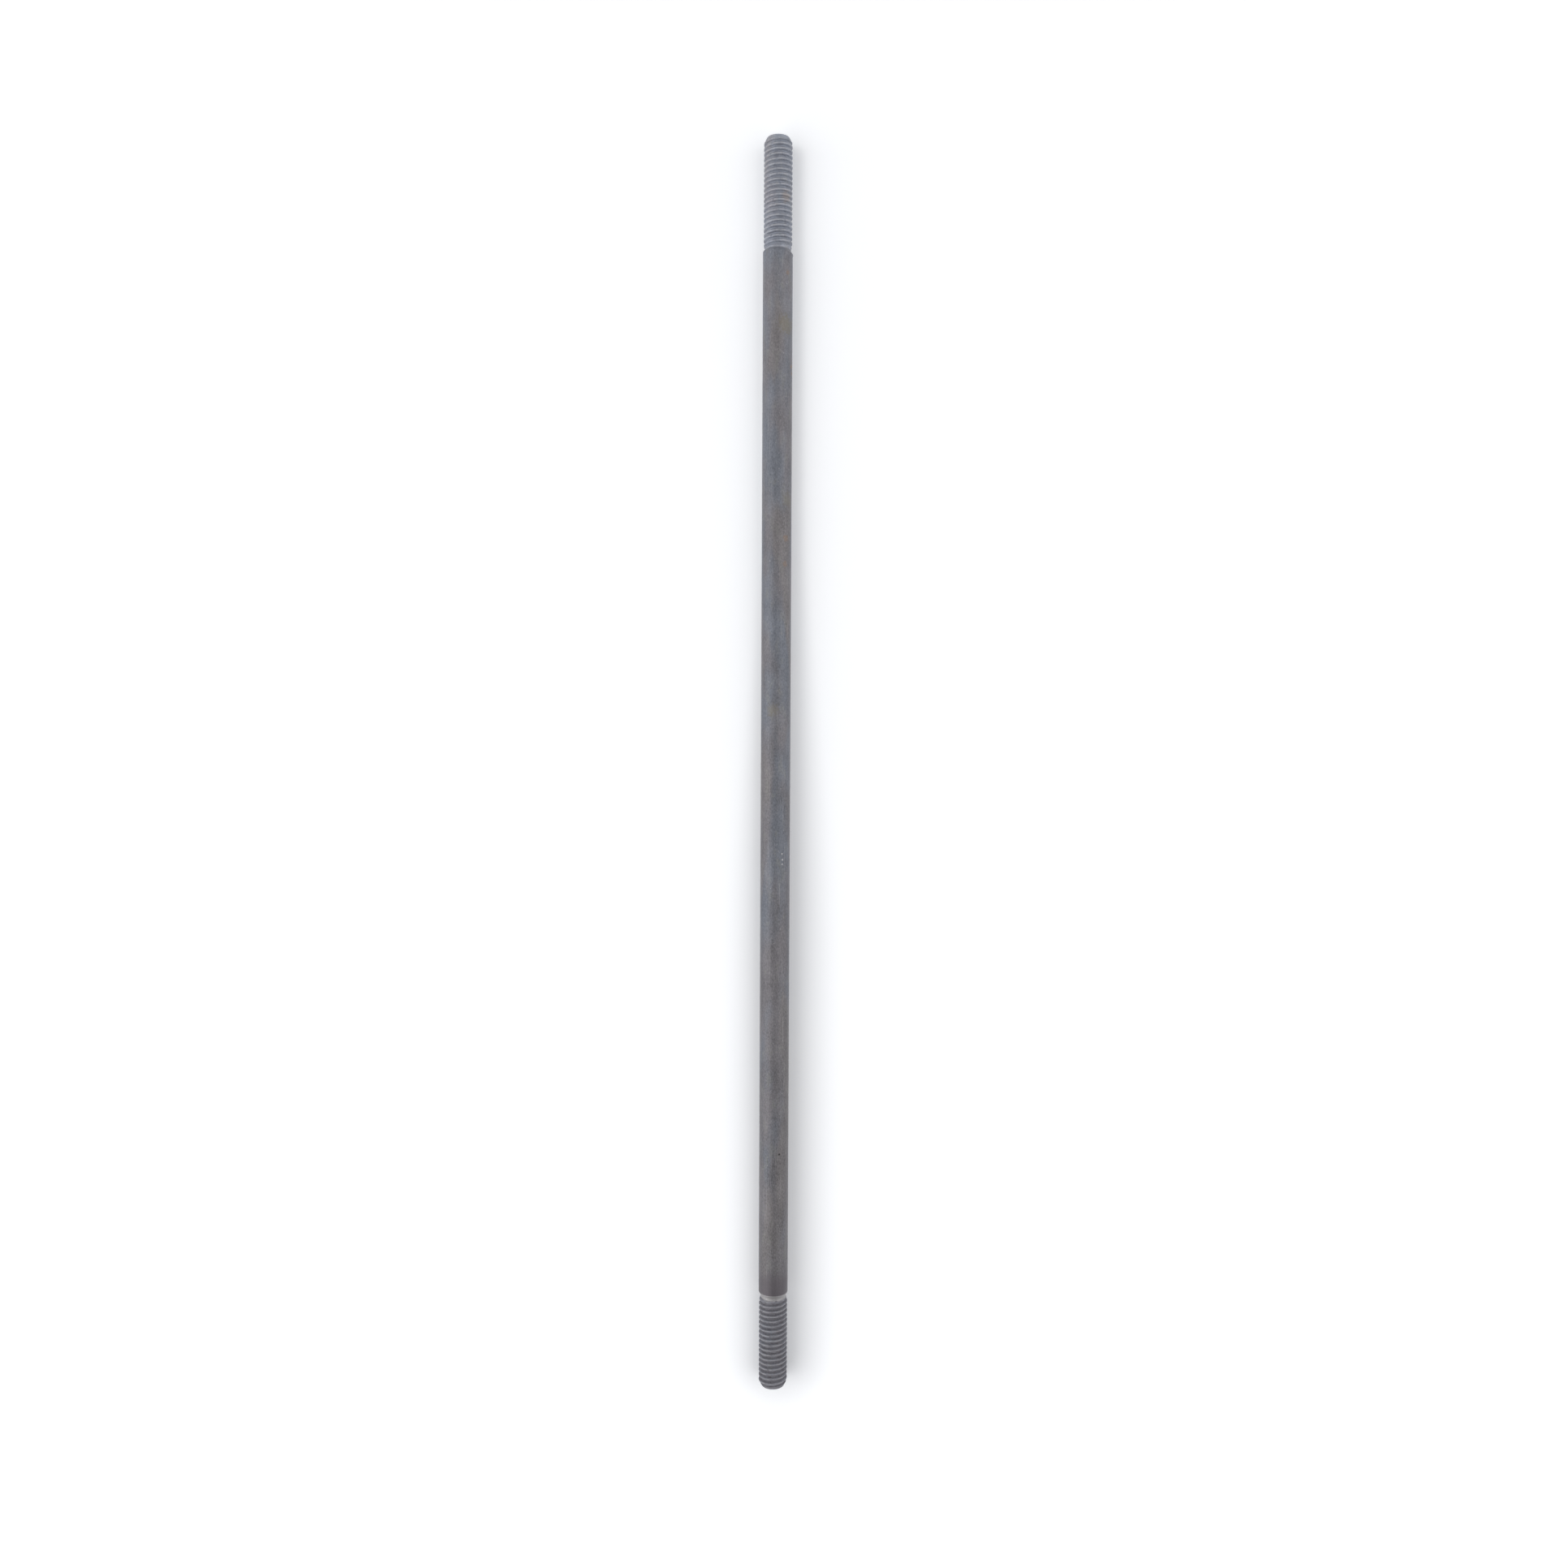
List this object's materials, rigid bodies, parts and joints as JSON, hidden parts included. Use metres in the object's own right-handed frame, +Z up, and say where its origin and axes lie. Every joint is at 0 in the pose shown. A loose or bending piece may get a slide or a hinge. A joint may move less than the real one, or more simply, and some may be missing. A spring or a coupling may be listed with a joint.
{
  "type": "turnbuckle rod",
  "caption": "Straight round steel bar with a slightly smaller right-hand thread rolled on each end, used as the screwed rod of a turnbuckle or tie.",
  "frame": {"origin": "on the rod's axis, at the middle of its length", "axes": "+Y along the rod towards its far end, +Z up; the near threaded end points to -Y"},
  "size_m": [0.0062, 0.254, 0.0062],
  "materials": {
    "steel": "dark drawn mill surface with fine lengthwise marks"
  },
  "bodies": {
    "root": {"rod": "steel"}
  },
  "joints": []
}
